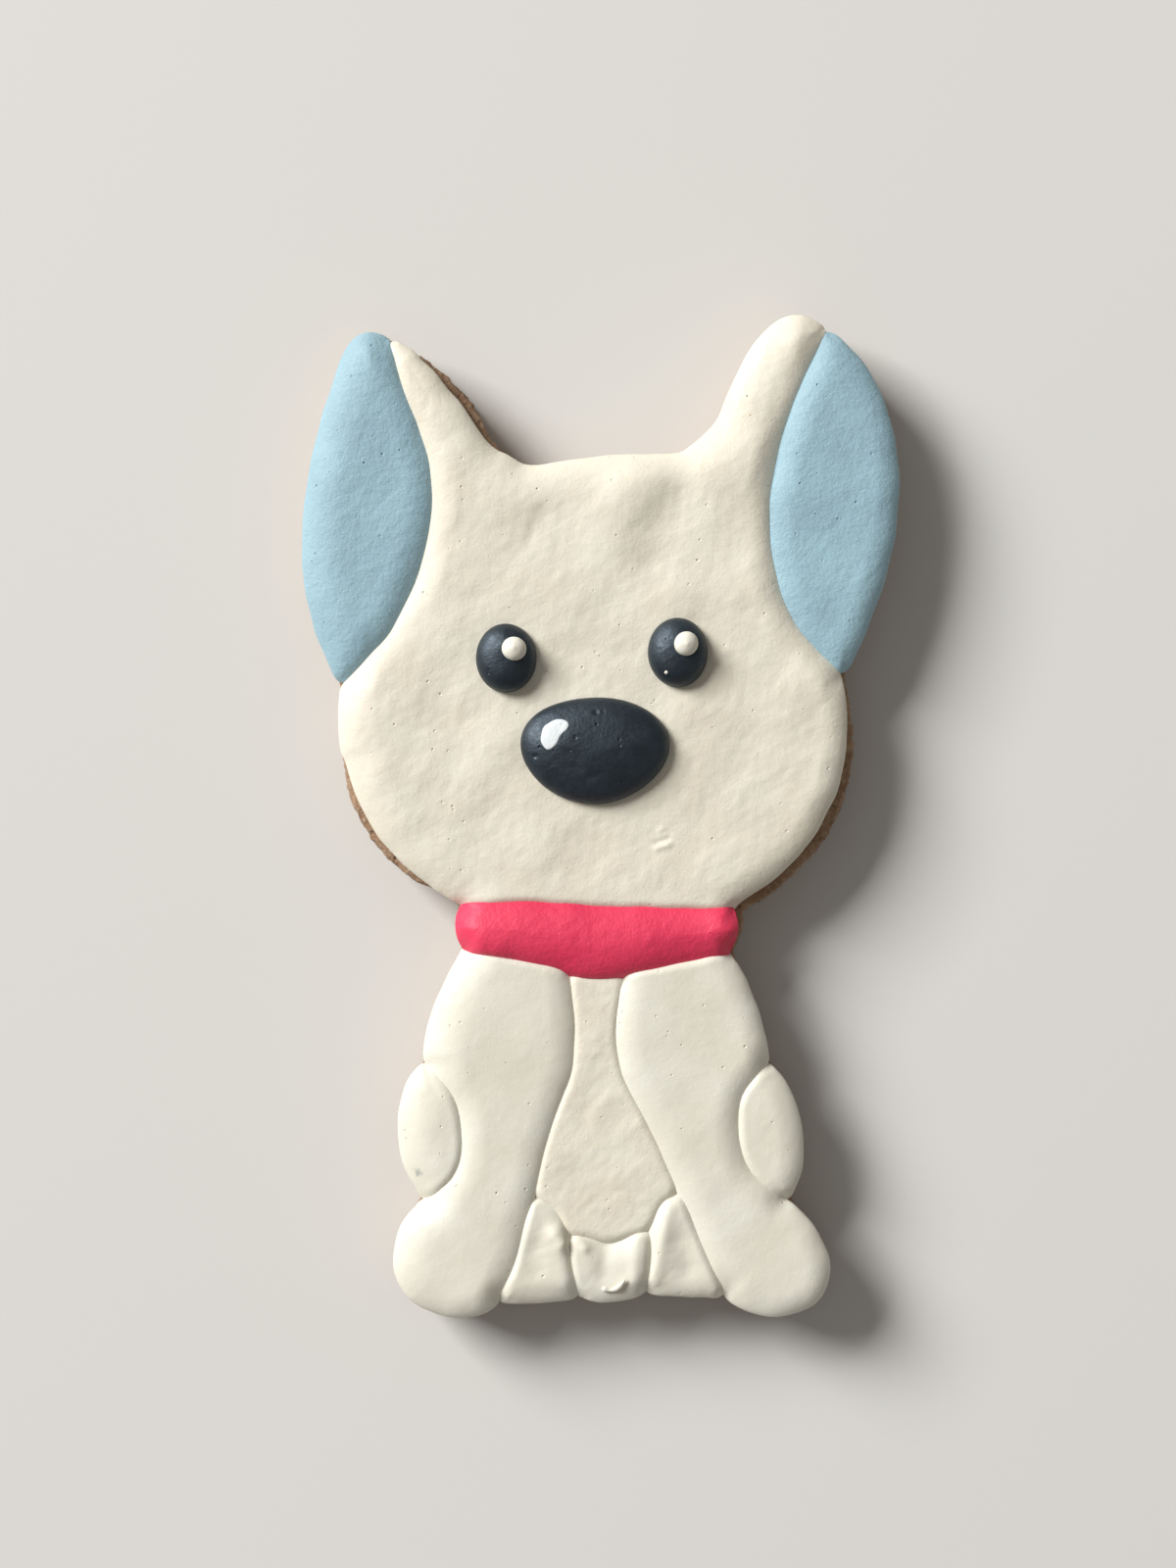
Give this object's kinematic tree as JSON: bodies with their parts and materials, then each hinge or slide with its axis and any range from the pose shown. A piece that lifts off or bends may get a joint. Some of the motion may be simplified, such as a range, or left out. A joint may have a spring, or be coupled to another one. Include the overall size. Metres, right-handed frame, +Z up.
{
  "type": "iced sugar cookie",
  "caption": "Flat sugar biscuit cut as a sitting puppy and flooded with ivory icing, with blue ear panels, a crimson collar, and domed charcoal eyes and nose.",
  "frame": {"origin": "centre of the bounding box, on the table that the biscuit's underside rests on", "axes": "+Z up out of the iced face, +Y from the paws to the ears, +X to the right as the iced face is looked at with the ears at the top"},
  "size_m": [0.067, 0.1126, 0.013],
  "materials": {
    "baked_dough": "baked sugar dough, dry and finely crumbed, browner at its edge; edible, not plastic",
    "ivory_icing": "dried royal icing, soft satin, with faint ripples and a few burst bubbles",
    "white_icing": "dried royal icing, soft satin, a little whiter than the ivory",
    "blue_icing": "dried royal icing, soft satin, pale grey blue",
    "crimson_icing": "dried royal icing, satin, thick and rounded",
    "charcoal_icing": "dried royal icing, satin, blue black, with tiny pits"
  },
  "bodies": {
    "root": {"biscuit": "baked_dough", "head_icing": "ivory_icing", "chest_icing": "ivory_icing", "ear_icing_left": "blue_icing", "ear_icing_right": "blue_icing", "collar_icing": "crimson_icing", "foreleg_icing_left": "white_icing", "foreleg_icing_right": "white_icing", "haunch_icing_left": "white_icing", "haunch_icing_right": "white_icing", "hind_foot_icing_left": "white_icing", "hind_foot_icing_right": "white_icing", "tuft_icing": "white_icing", "eye_left": "charcoal_icing", "eye_right": "charcoal_icing", "nose": "charcoal_icing", "eye_bead_left": "white_icing", "eye_bead_right": "white_icing", "nose_glint": "white_icing"}
  },
  "joints": []
}
